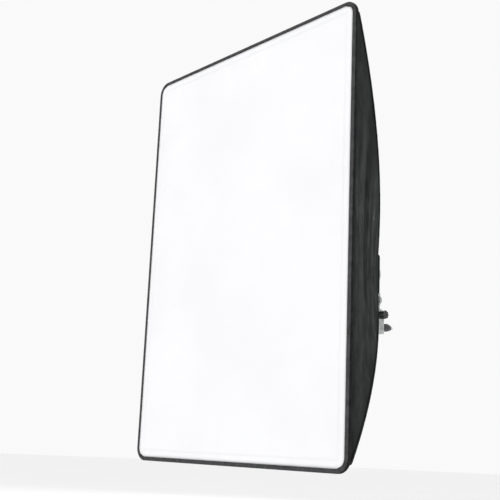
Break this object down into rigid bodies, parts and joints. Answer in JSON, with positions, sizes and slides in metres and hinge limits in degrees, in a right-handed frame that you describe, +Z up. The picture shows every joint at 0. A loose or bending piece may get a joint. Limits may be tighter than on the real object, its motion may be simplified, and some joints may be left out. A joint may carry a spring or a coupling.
{
  "type": "strip softbox",
  "caption": "Rectangular studio softbox: white diffuser on a black rod-and-cloth tent, with an E27 lamp holder and a tilting light-stand bracket.",
  "frame": {"origin": "centre of the light-stand socket's mouth, on the underside of the stand casting", "axes": "+Z up along the stand socket, -Y the way the lit face points, +X on the right of somebody who stands in front of the lit face"},
  "size_m": [0.5, 0.3915, 0.7],
  "materials": {
    "black_nylon": "satin",
    "grey_binding": "matte",
    "white_cloth": "matte",
    "velcro": "matte",
    "spring_steel": "satin",
    "cast_grey": "satin",
    "black_plastic": "satin",
    "pale_plastic": "gloss",
    "zinc": "satin",
    "brass": "satin",
    "ceramic": "satin",
    "white_plastic": "satin",
    "lamp_glass": "gloss"
  },
  "bodies": {
    "stand": {"stand_bracket": "cast_grey", "tilt_bolt": "zinc"},
    "tilt_washer": {"tilt_washer": "zinc"},
    "tilt_knob": {"tilt_knob": "black_plastic"},
    "clamp_pad": {"clamp_pad": "brass"},
    "clamp_screw": {"clamp_screw": "zinc", "clamp_knob": "black_plastic", "clamp_knob_tip": "pale_plastic"},
    "head": {"head_bracket": "cast_grey", "bracket_screw_left": "zinc", "bracket_screw_right": "zinc", "hub_ring": "cast_grey", "holder_rear": "black_plastic", "holder_front": "black_plastic", "ceramic_socket": "ceramic", "screw_shell": "brass", "centre_contact": "brass", "switch_bezel": "black_plastic", "cable_gland": "black_plastic", "rod_tl": "spring_steel", "rod_tr": "spring_steel", "rod_bl": "spring_steel", "rod_br": "spring_steel", "rod_socket_tl": "zinc", "rod_socket_tr": "zinc", "rod_socket_bl": "zinc", "rod_socket_br": "zinc", "corner_pocket_tl": "black_nylon", "corner_pocket_tr": "black_nylon", "corner_pocket_bl": "black_nylon", "corner_pocket_br": "black_nylon", "shell_panel_top": "black_nylon", "shell_panel_bottom": "black_nylon", "shell_panel_left": "black_nylon", "shell_panel_right": "black_nylon", "rear_collar": "black_nylon", "front_binding": "grey_binding", "loop_tape": "velcro"},
    "diffuser": {"diffuser": "white_cloth", "hook_tape": "velcro"},
    "lamp": {"lamp_cap": "zinc", "lamp_ballast": "white_plastic", "lamp_tube": "lamp_glass"},
    "power_rocker": {"power_rocker": "black_plastic"}
  },
  "joints": [
    {"name": "head_tilt", "type": "hinge", "parent": "stand", "child": "head", "pos_m": [0, 0, 0.034], "axis": [1, 0, 0], "range_deg": [-90, 45]},
    {"name": "tilt_lock_turn", "type": "hinge", "parent": "tilt_washer", "child": "tilt_knob", "pos_m": [0.0138, 0, 0.034], "axis": [1, 0, 0], "range_deg": [0, 360]},
    {"name": "tilt_lock_travel", "type": "slide", "parent": "stand", "child": "tilt_washer", "axis": [1, 0, 0], "range_m": [0, 0.0011]},
    {"name": "clamp_turn", "type": "hinge", "parent": "clamp_pad", "child": "clamp_screw", "pos_m": [0, 0.0086, 0.015], "axis": [0, -1, 0], "range_deg": [0, 1440]},
    {"name": "clamp_travel", "type": "slide", "parent": "stand", "child": "clamp_pad", "axis": [0, -1, 0], "range_m": [0, 0.0041]},
    {"name": "diffuser_off", "type": "slide", "parent": "head", "child": "diffuser", "axis": [0, -1, 0], "range_m": [0, 0.12]},
    {"name": "lamp_unscrew", "type": "hinge", "parent": "head", "child": "lamp", "pos_m": [0, -0.0781, 0.106], "axis": [0, -1, 0], "range_deg": [0, 1440]},
    {"name": "power_switch", "type": "hinge", "parent": "head", "child": "power_rocker", "pos_m": [-0.0085, -0.01675, 0.11], "axis": [1, 0, 0], "range_deg": [-16, 0]}
  ],
  "couplings": [
    {"joint": "tilt_lock_travel", "follows": "tilt_lock_turn", "m_per_rad": 0.00015915},
    {"joint": "clamp_travel", "follows": "clamp_turn", "m_per_rad": 0.00015915}
  ]
}
